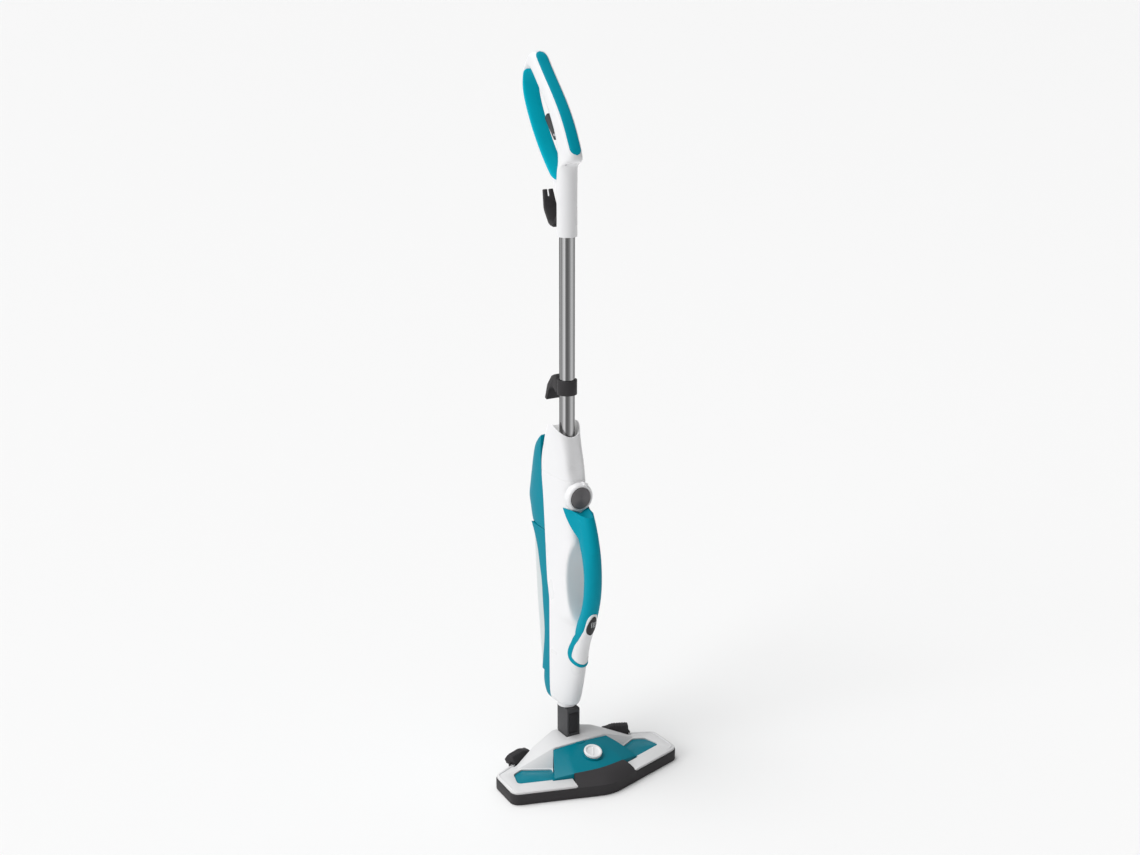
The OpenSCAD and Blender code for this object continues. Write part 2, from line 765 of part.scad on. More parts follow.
module handle_lining() {
  color(TEAL) difference() {
    intersection() {
      side(rounded(inset(loop_hole, 0.1)), -12, 12);
      side(lining_zone, -12, 12);
    }
    side(rounded(inset(loop_hole, 2.2)), -13, 13);
  }
}
module handle_screws() {
  color(STEEL) for (p = handle_screw_spots) {
    rod_x([-10.4, p.x, p.y], 1.6, 20.8);
    rod_x([-12, p.x, p.y], 3, 1.6);
  }
}
module trigger_pin() {
  color(STEEL) rod_x([-11.5, pivot_y, pivot_z], 2, 23);
}
trigger_side = [
  [28, 1037, 2], [58, 1068, 4], [50, 1076, 8], [36, 1074, 4], [14, 1052, 2], [-4, 1049, 2], [-4,
      1043.5, 1],
  [16, 1040, 3]
];
module trigger() {
  color("black") difference() {
    side(rounded(trigger_side), -7, 7);
    rod_x([-20, pivot_y, pivot_z], 2 + run, 40);
  }
}
module trigger_spring() {
  color(STEEL) translate([0, 29.9, 1068.1]) rotate([45, 0, 0]) spring(2.6, 0.7, 13.8);
}
module control_rod() {
  color(STEEL) {
    translate([0, 0, 506]) cylinder(r = 1.8, h = 532);
    translate([0, 0, 1035]) cylinder(r = 4, h = 6.5);
  }
}

// A hook plate: a curved blade of width w from its root up (or down) to its tip.
hook_blade = [
  [21, 904, 2], [36, 906, 14], [54, 928, 24], [63, 957, 2], [58, 958, 1], [50, 932, 20], [34, 912,
      12], [21, 910, 1]
];
module upper_cord_hook() {
  color(DARK) difference() {
    union() {
      side(rounded(hook_blade), -hook_w / 2, hook_w / 2);
      rod_y([0, 16.4, 915], 10, 5);
    }
    rod_y([0, 10, 915], 4 + run, 20);
    translate([-3, 40, 949]) cube([6, 40, 20]);
    rod_y([0, 40, 949], 3, 30);
  }
}
module hook_pivot_pin() {
  color(STEEL) {
    rod_y([0, 13, 915], 4, 9);
    rod_y([0, 21.5, 915], 4.7, 1.5);
    rod_y([0, 13, 915], 5, 2.8);
  }
}

clip_z = 640;
clip_h = 24;
module lower_cord_clip() {
  color(DARK) difference() {
    union() {
      translate([0, 0, clip_z]) cylinder(r = tube_r + 3.6, h = clip_h);
      side(rounded([[12, 641, 1], [17, 641, 2], [27, 650, 8], [37, 641, 12], [45, 621, 1], [51, 623,
          2], [43, 648, 20],
                    [29, 665, 10], [18, 670, 2], [12, 664, 1]]), -hook_w / 2, hook_w / 2);
    }
    translate([0, 0, clip_z - 40]) cylinder(r = tube_r + 0.1, h = 100);
    translate([0, 0, clip_z - 10]) linear_extrude(60)
      polygon([[0, 0], [40 * cos(2), 40 * sin(2)], [40 * cos(40), 40 * sin(40)]]);
  }
}

base_frame();
sole_plate();
head_cover();
head_panel();
front_bumper();
steam_distributor();
head_screws();
hinge_bracket();
tilt_pin();
pedal_pins();
pedal_left();
pedal_right();
pedal_spring_left();
pedal_spring_right();
selector_knob();
neck_block();
neck_latch_button();
neck_latch_spring();
neck_seal();
body_front_shell();
body_rear_shell();
outlet_collar();
grip();
grip_pad();
knob_bezel();
boiler();
pump();
thermostat();
tube_socket();
cord_gland();
water_hose();
steam_hose();
trigger_switch();
button_switch();
body_screws();
steam_knob();
steam_button();
steam_button_spring();
water_tank();
tank_cap();
tank_cap_seal();
tank_latch();
tank_latch_spring();
tube();
handle_shell_left();
handle_shell_right();
handle_front_grip();
handle_lining();
handle_screws();
trigger_pin();
trigger();
trigger_spring();
control_rod();
upper_cord_hook();
hook_pivot_pin();
lower_cord_clip();
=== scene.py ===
"""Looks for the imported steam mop: smooth shells, grip, handle and head over the fixed CAD frame.

The frame is in metres: +Z is up, -Y the front, x = y = 0 the tube's axis and z = 0 the floor.
The shapes are written in millimetres and scaled by MM.
"""
import json
import math

import bmesh
import bpy
import numpy as np
from mathutils import Matrix, Vector

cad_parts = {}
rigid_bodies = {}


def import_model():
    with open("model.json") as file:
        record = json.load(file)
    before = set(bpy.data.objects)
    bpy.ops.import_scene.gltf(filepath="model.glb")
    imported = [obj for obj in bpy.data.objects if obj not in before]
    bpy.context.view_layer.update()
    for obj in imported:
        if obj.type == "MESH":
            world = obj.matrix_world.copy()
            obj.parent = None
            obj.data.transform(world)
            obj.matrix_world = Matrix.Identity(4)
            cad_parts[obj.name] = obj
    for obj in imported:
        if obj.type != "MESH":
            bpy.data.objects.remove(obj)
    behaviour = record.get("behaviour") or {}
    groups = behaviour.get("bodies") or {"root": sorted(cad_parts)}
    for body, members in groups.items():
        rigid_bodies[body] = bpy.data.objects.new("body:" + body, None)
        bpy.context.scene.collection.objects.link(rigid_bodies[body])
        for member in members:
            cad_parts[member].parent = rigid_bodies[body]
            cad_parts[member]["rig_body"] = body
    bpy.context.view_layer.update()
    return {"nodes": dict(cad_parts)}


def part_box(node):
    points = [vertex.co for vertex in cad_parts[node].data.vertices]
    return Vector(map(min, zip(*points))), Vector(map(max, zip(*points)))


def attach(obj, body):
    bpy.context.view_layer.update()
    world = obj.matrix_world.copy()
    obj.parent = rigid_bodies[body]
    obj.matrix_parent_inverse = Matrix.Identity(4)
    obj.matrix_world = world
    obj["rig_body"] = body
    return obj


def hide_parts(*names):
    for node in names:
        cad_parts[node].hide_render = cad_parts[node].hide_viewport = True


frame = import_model()
NODES = frame["nodes"]
MM = 0.001


# ---- camera and light ---------------------------------------------------------
IMAGE_WIDTH = 1140
FOCAL_PIXELS = 1637.8
SHIFT_PIXELS = 3.0
SENSOR_WIDTH = 36.0
CAMERA_AT = (-1.25, -2.165, 1.349)
LOOK_DOWN = 17.01
LOOK_ROUND = 30
WORLD_BRIGHT_SIDE = (-0.7, 0.7, 0.1)
WORLD_DARKEST, WORLD_BRIGHTEST = 0.06, 0.72
# name, direction the light comes from, power and angular size in degrees
SUNS = (("top", (-0.25, 0.15, 1.0), 2.0, 50), ("key", (-1.0, -0.12, 0.5), 0.85, 35))


def add_camera():
    data = bpy.data.cameras.new("camera")
    data.sensor_width = SENSOR_WIDTH
    data.lens = FOCAL_PIXELS / IMAGE_WIDTH * SENSOR_WIDTH
    data.shift_x = SHIFT_PIXELS / IMAGE_WIDTH
    cam = bpy.data.objects.new("camera", data)
    cam.location = CAMERA_AT
    cam.rotation_euler = (math.radians(90 - LOOK_DOWN), 0, math.radians(-LOOK_ROUND))
    bpy.context.scene.collection.objects.link(cam)
    bpy.context.scene.camera = cam


def add_sun(name, source, power, spread):
    data = bpy.data.lights.new(name, "SUN")
    data.energy = power
    data.angle = math.radians(spread)
    lamp = bpy.data.objects.new(name, data)
    lamp.rotation_euler = (-Vector(source)).to_track_quat("-Z", "Y").to_euler()
    bpy.context.scene.collection.objects.link(lamp)


def add_light():
    """Two wide soft suns, and a world that is brighter on the left and behind than in front."""
    world = bpy.data.worlds.new("studio")
    world.use_nodes = True
    nodes, links = world.node_tree.nodes, world.node_tree.links
    background = nodes["Background"]
    background.inputs["Color"].default_value = (1.0, 1.0, 1.0, 1.0)
    coords = nodes.new("ShaderNodeTexCoord")
    dot = nodes.new("ShaderNodeVectorMath")
    dot.operation = "DOT_PRODUCT"
    dot.inputs[1].default_value = WORLD_BRIGHT_SIDE
    level = nodes.new("ShaderNodeMapRange")
    level.inputs["From Min"].default_value = -1.0
    level.inputs["From Max"].default_value = 1.0
    level.inputs["To Min"].default_value = WORLD_DARKEST
    level.inputs["To Max"].default_value = WORLD_BRIGHTEST
    links.new(coords.outputs["Generated"], dot.inputs[0])
    links.new(dot.outputs["Value"], level.inputs["Value"])
    links.new(level.outputs["Result"], background.inputs["Strength"])
    bpy.context.scene.world = world
    bpy.context.scene.view_settings.view_transform = "Standard"
    for sun in SUNS:
        add_sun(*sun)


# ---- materials ------------------------------------------------------------------
UNEVEN_SCALE = 14.0
GRAIN_DEPTH = 0.0003
# turns the painted reflection bands so that the bright ones face the camera, in degrees
REFLECTION_BANDS_TURN = 210


def link_noise(mat, scale):
    nodes, links = mat.node_tree.nodes, mat.node_tree.links
    coords = nodes.new("ShaderNodeTexCoord")
    noise = nodes.new("ShaderNodeTexNoise")
    noise.inputs["Scale"].default_value = scale
    noise.inputs["Detail"].default_value = 3.0
    links.new(coords.outputs["Object"], noise.inputs["Vector"])
    return noise


def material(name, color, rough, metallic=0.0, coat=0.0, grain=None, uneven=0.0, shine=0.3):
    """A Principled material. grain is (scale, strength), and uneven varies the roughness."""
    mat = bpy.data.materials.new(name)
    mat.use_nodes = True
    nodes, links = mat.node_tree.nodes, mat.node_tree.links
    shader = nodes["Principled BSDF"]
    shader.inputs["Base Color"].default_value = (*color, 1.0)
    shader.inputs["Roughness"].default_value = rough
    shader.inputs["Metallic"].default_value = metallic
    shader.inputs["Specular IOR Level"].default_value = shine
    shader.inputs["Coat Weight"].default_value = coat
    shader.inputs["Coat Roughness"].default_value = 0.08
    if uneven:
        noise = link_noise(mat, UNEVEN_SCALE)
        spread = nodes.new("ShaderNodeMapRange")
        spread.inputs["To Min"].default_value = max(0.0, rough - uneven)
        spread.inputs["To Max"].default_value = rough + uneven
        links.new(noise.outputs["Fac"], spread.inputs["Value"])
        links.new(spread.outputs["Result"], shader.inputs["Roughness"])
    if grain:
        noise = link_noise(mat, grain[0])
        bump = nodes.new("ShaderNodeBump")
        bump.inputs["Strength"].default_value = grain[1]
        bump.inputs["Distance"].default_value = GRAIN_DEPTH
        links.new(noise.outputs["Fac"], bump.inputs["Height"])
        links.new(bump.outputs["Normal"], shader.inputs["Normal"])
    return mat


def tube_with_painted_reflections():
    """Steel with painted reflections: long bright and dark bands run up the tube, painted into its colour round
    its axis.
    """
    mat = material("tube_steel", (0.6, 0.6, 0.6), 0.2, metallic=1.0)
    nodes, links = mat.node_tree.nodes, mat.node_tree.links
    coords = nodes.new("ShaderNodeTexCoord")
    turn = nodes.new("ShaderNodeMapping")
    turn.inputs["Rotation"].default_value = (0, 0, math.radians(REFLECTION_BANDS_TURN))
    split = nodes.new("ShaderNodeTexGradient")
    split.gradient_type = "RADIAL"
    half = nodes.new("ShaderNodeMath")
    half.operation = "MULTIPLY"
    half.inputs[1].default_value = 2.0
    wrap = nodes.new("ShaderNodeMath")
    wrap.operation = "FRACT"
    ramp = nodes.new("ShaderNodeValToRGB")
    # grey levels round the tube: painted reflections, the bright and dark bands of the surroundings
    reflection_stops = [(0.0, 0.05), (0.16, 0.10), (0.22, 0.42), (0.27, 0.16), (0.33, 0.50), (0.41, 0.62), (0.45, 0.13),
             (0.53, 0.11), (0.60, 0.20), (0.68, 0.50), (0.76, 0.42), (0.84, 0.12), (1.0, 0.05)]
    points = ramp.color_ramp.elements
    points[0].position, points[-1].position = reflection_stops[0][0], reflection_stops[-1][0]
    for place_at, _ in reflection_stops[1:-1]:
        points.new(place_at)
    for point, (_, grey) in zip(points, reflection_stops):
        point.color = (grey, grey, grey * 1.01, 1.0)
    links.new(coords.outputs["Object"], turn.inputs["Vector"])
    links.new(turn.outputs["Vector"], split.inputs["Vector"])
    links.new(split.outputs["Fac"], half.inputs[0])
    links.new(half.outputs["Value"], wrap.inputs[0])
    links.new(wrap.outputs["Value"], ramp.inputs["Fac"])
    links.new(ramp.outputs["Color"], nodes["Principled BSDF"].inputs["Base Color"])
    return mat


WHITE = material("white_gloss", (0.80, 0.80, 0.81), 0.28, coat=0.15, uneven=0.03)
HEAD_WHITE = material("head_white", (0.66, 0.66, 0.665), 0.4, grain=(900, 0.08), uneven=0.03)
TEAL = material("teal_gloss", (0.0008, 0.23, 0.31), 0.34, uneven=0.03, shine=0.04)
TEAL_SOFT = material("teal_soft", (0.0008, 0.29, 0.39), 0.45, grain=(1300, 0.12), shine=0.06)
TEAL_BRIGHT = material("teal_bright", (0.0008, 0.42, 0.55), 0.45, grain=(1300, 0.12), shine=0.06)
TEAL_PANEL = material("teal_panel", (0.0008, 0.18, 0.24), 0.25, uneven=0.04, shine=0.15)
CHARCOAL = material("charcoal", (0.038, 0.036, 0.038), 0.5, grain=(1500, 0.2), uneven=0.04, shine=0.15)
CHARCOAL_LIGHT = material("charcoal_light", (0.07, 0.07, 0.073), 0.5, grain=(1500, 0.2), shine=0.15)
KNOB = material("knob_grey", (0.15, 0.145, 0.15), 0.34, metallic=0.2, shine=0.2)
BLACK = material("black_gloss", (0.022, 0.022, 0.023), 0.3, shine=0.25)
ICON = material("icon_grey", (0.5, 0.52, 0.53), 0.4)
CHROME = tube_with_painted_reflections()
STEEL = material("steel", (0.55, 0.55, 0.57), 0.32, metallic=1.0, grain=(600, 0.1))
CAST = material("cast_aluminium", (0.5, 0.5, 0.52), 0.5, metallic=0.9, grain=(300, 0.4))
MOULDED = material("moulded_grey", (0.22, 0.22, 0.235), 0.45, grain=(1100, 0.1))
FUNNEL = material("funnel_grey", (0.85, 0.85, 0.85), 0.5)
HOSE = material("silicone", (0.7, 0.7, 0.7), 0.5, uneven=0.05)
SEAL = material("seal_rubber", (0.015, 0.015, 0.015), 0.7, grain=(900, 0.2))
TANK = material("tank_milky", (0.58, 0.625, 0.63), 0.3, coat=0.1, uneven=0.04)


# ---- mesh tools ---------------------------------------------------------------------
def build(name, parts, mat, body, nodes=(), sharp=32.0):
    """One object from (points in mm, faces) parts. It rides on body and stands for the CAD nodes."""
    verts, faces = [], []
    for points, part_faces in parts:
        base = len(verts)
        verts += [tuple(float(c) * MM for c in p) for p in points]
        faces += [tuple(i + base for i in f) for f in part_faces]
    mesh = bpy.data.meshes.new(name)
    mesh.from_pydata(verts, [], faces)
    bm = bmesh.new()
    bm.from_mesh(mesh)
    bmesh.ops.remove_doubles(bm, verts=bm.verts, dist=1e-7)
    bmesh.ops.recalc_face_normals(bm, faces=bm.faces)
    bm.to_mesh(mesh)
    bm.free()
    place(name, mesh, mat, body, nodes, sharp)


def place(name, mesh, mat, body, nodes, sharp):
    mesh.materials.clear()
    mesh.materials.append(mat)
    for face in mesh.polygons:
        face.use_smooth = True
    mesh.set_sharp_from_angle(angle=math.radians(sharp))
    piece = bpy.data.objects.new(name, mesh)
    bpy.context.scene.collection.objects.link(piece)
    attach(piece, body)
    if nodes:
        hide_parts(*nodes)


def soften(node, width, mat, slot, angle=24.0, segments=2, shape=None):
    """A copy of a CAD node with its edges rounded by width mm, shown in its place."""
    source = NODES[node]
    bm = bmesh.new()
    bm.from_mesh(source.data)
    bmesh.ops.remove_doubles(bm, verts=bm.verts, dist=3e-6)
    bmesh.ops.dissolve_limit(bm, angle_limit=math.radians(0.6), verts=bm.verts, edges=bm.edges)
    edges = [e for e in bm.edges if len(e.link_faces) == 2 and e.calc_face_angle(0.0) > math.radians(angle)]
    bmesh.ops.bevel(bm, geom=edges, offset=width * MM, offset_type="OFFSET", segments=segments, profile=0.5,
                    affect="EDGES", clamp_overlap=False)
    for vert in bm.verts if shape else ():
        vert.co = shape(vert.co)
    mesh = bpy.data.meshes.new(node + "_soft")
    bm.to_mesh(mesh)
    bm.free()
    place(node + "_soft", mesh, mat, source["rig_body"], [node], 40.0)


def loft(rings, close=True, caps=(True, True)):
    """Quads between rings of equal length, with fans at the ends."""
    count = len(rings[0])
    points = [tuple(p) for ring in rings for p in ring]
    faces = []
    last = count if close else count - 1
    for k in range(len(rings) - 1):
        for i in range(last):
            j = (i + 1) % count
            faces.append((k * count + i, k * count + j, (k + 1) * count + j, (k + 1) * count + i))
    for flag, k in ((caps[0], 0), (caps[1], len(rings) - 1)):
        if flag:
            points.append(tuple(np.mean([points[k * count + i] for i in range(count)], axis=0)))
            centre = len(points) - 1
            faces += [(k * count + i, k * count + (i + 1) % count, centre) for i in range(count)]
    return points, faces


def pchip(rows):
    """A smooth function through (x, value) rows that does not overshoot them."""
    data = np.array(sorted(rows), float)
    x, y = data[:, 0], data[:, 1]
    h, d = np.diff(x), np.diff(y) / np.diff(x)
    slope = np.zeros(len(x))
    slope[0], slope[-1] = d[0], d[-1]
    for i in range(1, len(x) - 1):
        if d[i - 1] * d[i] > 0:
            a, b = 2 * h[i] + h[i - 1], h[i] + 2 * h[i - 1]
            slope[i] = (a + b) / (a / d[i - 1] + b / d[i])

    def value(q):
        q = min(max(float(q), x[0]), x[-1])
        i = min(max(int(np.searchsorted(x, q)) - 1, 0), len(h) - 1)
        t = (q - x[i]) / h[i]
        return float((2 * t**3 - 3 * t**2 + 1) * y[i] + (t**3 - 2 * t**2 + t) * h[i] * slope[i]
                     + (3 * t**2 - 2 * t**3) * y[i + 1] + (t**3 - t**2) * h[i] * slope[i + 1])
    return value


def smooth_rows(rows, steps):
    """Catmull-Rom through rows of numbers, open at both ends."""
    rows = np.array(rows, float)
    ext = np.vstack([2 * rows[0] - rows[1], rows, 2 * rows[-1] - rows[-2]])
    out = []
    for i in range(1, len(ext) - 2):
        p0, p1, p2, p3 = ext[i - 1:i + 3]
        for k in range(steps):
            t = k / steps
            out.append(0.5 * (2 * p1 + (p2 - p0) * t + (2 * p0 - 5 * p1 + 4 * p2 - p3) * t**2
                              + (3 * p1 - p0 - 3 * p2 + p3) * t**3))
    out.append(rows[-1])
    return np.array(out)


def polar(phi, n):
    """Unit superellipse of exponent n at polar angle phi."""
    c, s = math.cos(phi), math.sin(phi)
    r = (abs(c)**n + abs(s)**n)**(-1 / n)
    return r * c, r * s


def lathe(profile, origin, axis="Y", count=96):
    """A turned shape. profile is (radius, place along the axis), capped where it ends near the axis."""
    rings = []
    for radius, along in profile:
        ring = []
        for i in range(count):
            a = 2 * math.pi * i / count
            u, v = radius * math.cos(a), radius * math.sin(a)
            point = (u, along, v) if axis == "Y" else (u, v, along)
            ring.append(np.array(point) + origin)
        rings.append(ring)
    return loft(rings, caps=(profile[0][0] < 0.5, profile[-1][0] < 0.5))


# ---- casing of the steam unit ----------------------------------------------------------
# y of the front face, y of the seam, half width, corner sharpness and shift of the section's centre, by height
FRONT = pchip([(106.5, -24.5), (107.3, -26.8), (110, -29), (114, -31.2), (120, -33.6), (135, -38), (180, -49),
               (215, -56), (236, -59.4), (258, -58.2), (267, -56), (275, -51.5), (285, -46.5), (300, -40.5),
               (320, -36.2), (340, -34.6), (360, -36.2), (380, -41), (395, -46), (405, -49.4), (415, -48.6),
               (440, -45), (470, -41), (500, -35.6), (520, -31.5), (545, -26), (562, -21.6), (575, -18.6),
               (592, -16)])
SEAM = pchip([(106, 16.5), (110, 17.8), (121, 18.8), (200, 18.4), (285, 18.6), (300, 21), (318, 25), (386, 31),
              (454, 37), (537, 45.5), (557, 44), (575, 38.5), (592, 33)])
HALF = pchip([(106.5, 18), (107.3, 19.4), (110, 20.4), (114, 21.1), (122, 21.8), (140, 22.5), (200, 22.9),
              (480, 23), (540, 23.6), (592, 24.3)])
SHARP = pchip([(101, 2.1), (135, 2.3), (236, 2.5), (262, 2.9), (270, 5), (280, 10), (300, 14), (375, 14),
               (392, 8), (405, 4.6), (440, 4), (480, 4.2), (520, 4.2), (550, 3.3), (592, 2.2)])
MIDDLE = pchip([(495, 0), (520, 3), (537, 8), (557, 17), (575, 20), (592, 24)])
MOUTH_BASE = 540
FUNNEL_FOOT_R, FUNNEL_FOOT_Z = 12.8, 567


def flute(x, z):
    """The shallow hollow down the upper front."""
    along = max(0.0, min(1.0, (z - 506) / 14)) * max(0.0, min(1.0, (582 - z) / 12))
    return 2.0 * along * max(0.0, 1 - (x / 16.5)**2)


def skin(phi, z, grow=0.0):
    """Point on the front casing at polar angle phi (0 is +X, 90 degrees is the front)."""
    middle = SEAM(z) - (MIDDLE(z) if z > 495 else 0.0)
    x, y = polar(phi, SHARP(z))
    x *= HALF(z) + grow
    if y >= 0:
        return np.array([x, middle - y * (middle - FRONT(z) + grow) + flute(x, z), z])
    back = max(0.3, SEAM(z) - middle)
    x, y = polar(phi, 2.6)
    return np.array([x * (HALF(z) + grow), middle - y * (back + grow), z])


def mouth_top(phi):
    s = math.sin(phi)
    return 590 - (18.5 if s > 0 else 12.0) * abs(s)**1.7


def casing_front():
    close = [45 + d for d in (-3, -1.6, -0.7, 0.7, 1.6, 3)] + [135 + d for d in (-3, -1.6, -0.7, 0.7, 1.6, 3)]
    angles = sorted([2 * math.pi * i / 112 for i in range(112)] + [math.radians(d) for d in close])
    heights = [106.5, 106.8, 107.5, 108.6, 110, 112, 114, 118] + list(range(124, 500, 4)) + [501, 503.2]
    rings = [[skin(a, z) for a in angles] for z in heights]
    for z, grow in ((503.9, 0), (504.3, -0.45), (505.1, -0.45), (505.5, 0)):
        rings.append([skin(a, z, grow) for a in angles])
    for z in range(509, MOUTH_BASE, 4):
        rings.append([skin(a, z) for a in angles])
    for k in range(13):
        rings.append([skin(a, MOUTH_BASE + (mouth_top(a) - MOUTH_BASE) * k / 12) for a in angles])
    rim = [(0.35, 0.25), (0.9, 0.75), (1.6, 0.75), (2.2, 0.2)]
    for inward, lift in rim:
        rings.append([skin(a, mouth_top(a), -inward) + np.array([0, 0, lift]) for a in angles])
    build("casing_front", [loft(rings, caps=(True, False))], WHITE, "body", ["body_front_shell"],
          38)
    inner = [[skin(a, mouth_top(a), -2.2) + np.array([0, 0, 0.2]) for a in angles]]
    for t in (0.15, 0.4, 0.7, 1.0):
        ring = []
        for a in angles:
            edge = skin(a, mouth_top(a), -2.2)
            foot = np.array([FUNNEL_FOOT_R * math.cos(a), -FUNNEL_FOOT_R * math.sin(a), FUNNEL_FOOT_Z])
            point = edge + (foot - edge) * t
            point[2] = edge[2] + (FUNNEL_FOOT_Z - edge[2]) * min(1.0, t * 1.25)
            ring.append(point)
        inner.append(ring)
    build("mouth_funnel", [loft(inner, caps=(False, False))], FUNNEL, "body", ["tube_socket"])


# y of the rear shell's edge beside the tank, of the bulge above it and of the tank bay's floor, by height
WING = pchip([(107, 33), (109, 38.5), (113, 42), (122, 46), (133, 48), (151, 46.5), (164, 45), (222, 38.5),
              (274, 44), (308, 47.5), (335, 54), (361, 60.5), (386, 71), (404, 82)])
BULGE = pchip([(403.5, 90), (405, 93), (409, 95.5), (414, 97.5), (427, 101.5), (446, 106.5), (470, 101.5),
               (500, 93.5), (522, 86.5), (540, 78), (550, 68.5), (558, 57.5), (563, 47.5)])
BAY = pchip([(151, 27), (300, 27.3), (340, 32), (404, 52)])
SEAM_GAP = 0.25
REAR_STEP = 0.35


def rear_half_ring(z, depth, n, half, inset=0.0):
    seam = SEAM(z) + SEAM_GAP
    ring = []
    for i in range(57):
        x, y = polar(math.pi * i / 56, n)
        ring.append(np.array([x * (half - inset), seam + y * max(0.5, depth - seam - inset), z]))
    return ring


def casing_rear():
    parts = []
    foot_z = [107, 107.6, 108.6, 110, 113, 118, 124, 130, 136, 142, 147, 151.5]
    parts.append(loft([rear_half_ring(z, WING(z), 5.0, HALF(z) - REAR_STEP) for z in foot_z]))
    channel = []
    for z in [151.5, 155] + list(range(160, 400, 6)) + [403.4]:
        seam, tip = SEAM(z) + SEAM_GAP, WING(z)
        side = []
        for i in range(13):
            x = 22.6 - 3.0 * (i / 12)**3
            y = seam + (tip - seam) * math.sin(math.pi / 2 * min(1.0, i / 10))
            side.append((x if i < 12 else 19.9, y if i < 12 else tip - 0.4))
        side += [(19.3, tip - 1.2), (19.3, BAY(z) + 1.5), (18.0, BAY(z))]
        ring = side + [(-x, y) for x, y in reversed(side)]
        channel.append([np.array([x, y, z]) for x, y in ring])
    parts.append(loft(channel))
    bulge_z = [403.5, 403.9, 404.6, 406, 409, 414, 420, 427] + list(range(433, 540, 5))
    bulge_z += [543, 548, 553, 558, 561, 563]
    insets = {403.5: 1.4, 403.9: 0.6, 404.6: 0.15}
    parts.append(loft([rear_half_ring(z, BULGE(z), 3.0, HALF(z) - REAR_STEP, insets.get(z, 0.0))
                       for z in bulge_z]))
    build("casing_rear", parts, TEAL, "body", ["body_rear_shell"], 38)


def casing_collar():
    profile = [(13.2, 98.7), (15.2, 98.7), (15.8, 99.2), (16.0, 100.2), (16.0, 105.6), (15.4, 106),
               (15.4, 108)]
    build("collar_ring", [lathe(profile, (0, 0, 0), "Z")], WHITE, "body", ["outlet_collar"])


def tank():
    front = pchip([(152, 30.5), (156, 28.6), (300, 28.6), (338, 34.4), (396, 60), (402, 64)])
    back = pchip([(152, 53), (156, 56.5), (165, 59), (228, 70), (297, 79), (360, 83), (396, 83), (402, 81)])
    half = pchip([(152, 15.5), (154, 17.6), (158, 18.5), (396, 18.5), (402, 16.5)])
    rings = []
    for z in [152.3, 152.8, 154, 156, 160] + list(range(166, 392, 6)) + [394, 397, 399.5, 401.2, 402.0]:
        ring = []
        for i in range(72):
            x, y = polar(2 * math.pi * i / 72, 3.4)
            mid, deep = (front(z) + back(z)) / 2, (back(z) - front(z)) / 2
            ring.append(np.array([x * half(z), mid + y * deep, z]))
        rings.append(ring)
    build("tank_shell", [loft(rings)], TANK, "water_tank", ["water_tank"], 40)


# ---- grip, pad and button ------------------------------------------------------------------
GRIP_HALF = 14.0
GRIP_SHARP = 2.25
BEZEL_R = 24.2
KNOB_Z = 478.0
# outer point and inner point in (y, z), from the upper root to the lower root
GRIP_PAIRS = [(-56, 476, -26, 455), (-64, 468, -32, 444), (-73, 455, -40, 431), (-81, 439, -46.5, 418),
              (-88, 419, -54, 402), (-93.6, 396, -62.5, 382), (-96, 370, -67.8, 362), (-96.2, 342, -69, 340),
              (-93.5, 318, -66.5, 316), (-88, 296, -60.5, 295), (-81, 275, -52, 277), (-71.5, 252, -42, 260),
              (-61, 229, -34, 242), (-53, 210, -26, 228)]
GRIP_OUTER = pchip([(p[1], p[0]) for p in GRIP_PAIRS])
GRIP_INNER = pchip([(p[3], p[2]) for p in GRIP_PAIRS])


def grip():
    rings = []
    for y0, z0, y1, z1 in smooth_rows(GRIP_PAIRS, 6):
        mid = np.array([0, (y0 + y1) / 2, (z0 + z1) / 2])
        out = np.array([0, (y0 - y1) / 2, (z0 - z1) / 2])
        ring = []
        for i in range(56):
            c, s = polar(2 * math.pi * i / 56, GRIP_SHARP)
            ring.append(under_bezel(mid + out * c + np.array([GRIP_HALF * s, 0, 0])))
        rings.append(ring)
    build("grip_bar", [loft(rings)], TEAL_SOFT, "body", ["grip"], 85)


def under_bezel(point):
    """The point, moved down where the bezel's ring would cover it."""
    if abs(point[0]) < BEZEL_R:
        slope = 0.45 * max(0.0, -45 - point[1])
        point[2] = min(point[2], KNOB_Z - math.sqrt(BEZEL_R**2 - point[0]**2) - slope)
    return point


def surface(x, z, blend=2.6):
    """Forward face of the casing and grip together at (x, z), with a soft valley between them."""
    half, n = HALF(z), SHARP(z)
    share = max(0.0, 1 - min(1.0, abs(x) / half)**n)**(1 / n)
    casing = SEAM(z) - share * (SEAM(z) - FRONT(z))
    outer, inner = GRIP_OUTER(z), GRIP_INNER(z)
    share = max(0.0, 1 - min(1.0, abs(x) / GRIP_HALF)**GRIP_SHARP)**(1 / GRIP_SHARP)
    bar = (outer + inner) / 2 - share * (inner - outer) / 2
    if abs(x) >= GRIP_HALF:
        bar += (abs(x) - GRIP_HALF) * 3
    low = min(casing, bar)
    return low - blend * math.log(math.exp((low - casing) / blend) + math.exp((low - bar) / blend))


def patch(name, rows, mat, nodes, proud, body="body"):
    """A skin laid on surface(): rows of (x0, z0, x1, z1) ends, proud mm thick at its middle."""
    across = 22
    top = []
    for x0, z0, x1, z1 in rows:
        line = []
        for k in range(across + 1):
            u = -math.cos(math.pi * k / across)
            x = (x0 + x1) / 2 + (x1 - x0) / 2 * u
            z = (z0 + z1) / 2 + (z1 - z0) / 2 * u
            if abs(x) < BEZEL_R and z < KNOB_Z:
                z = min(z, KNOB_Z - math.sqrt(BEZEL_R**2 - x**2))
            line.append(np.array([x, surface(x, z) - proud + (proud + 1.0) * abs(u)**14, z]))
        top.append(line)
    build(name, [loft(top, close=False, caps=(False, False))], mat, body, nodes, 60)


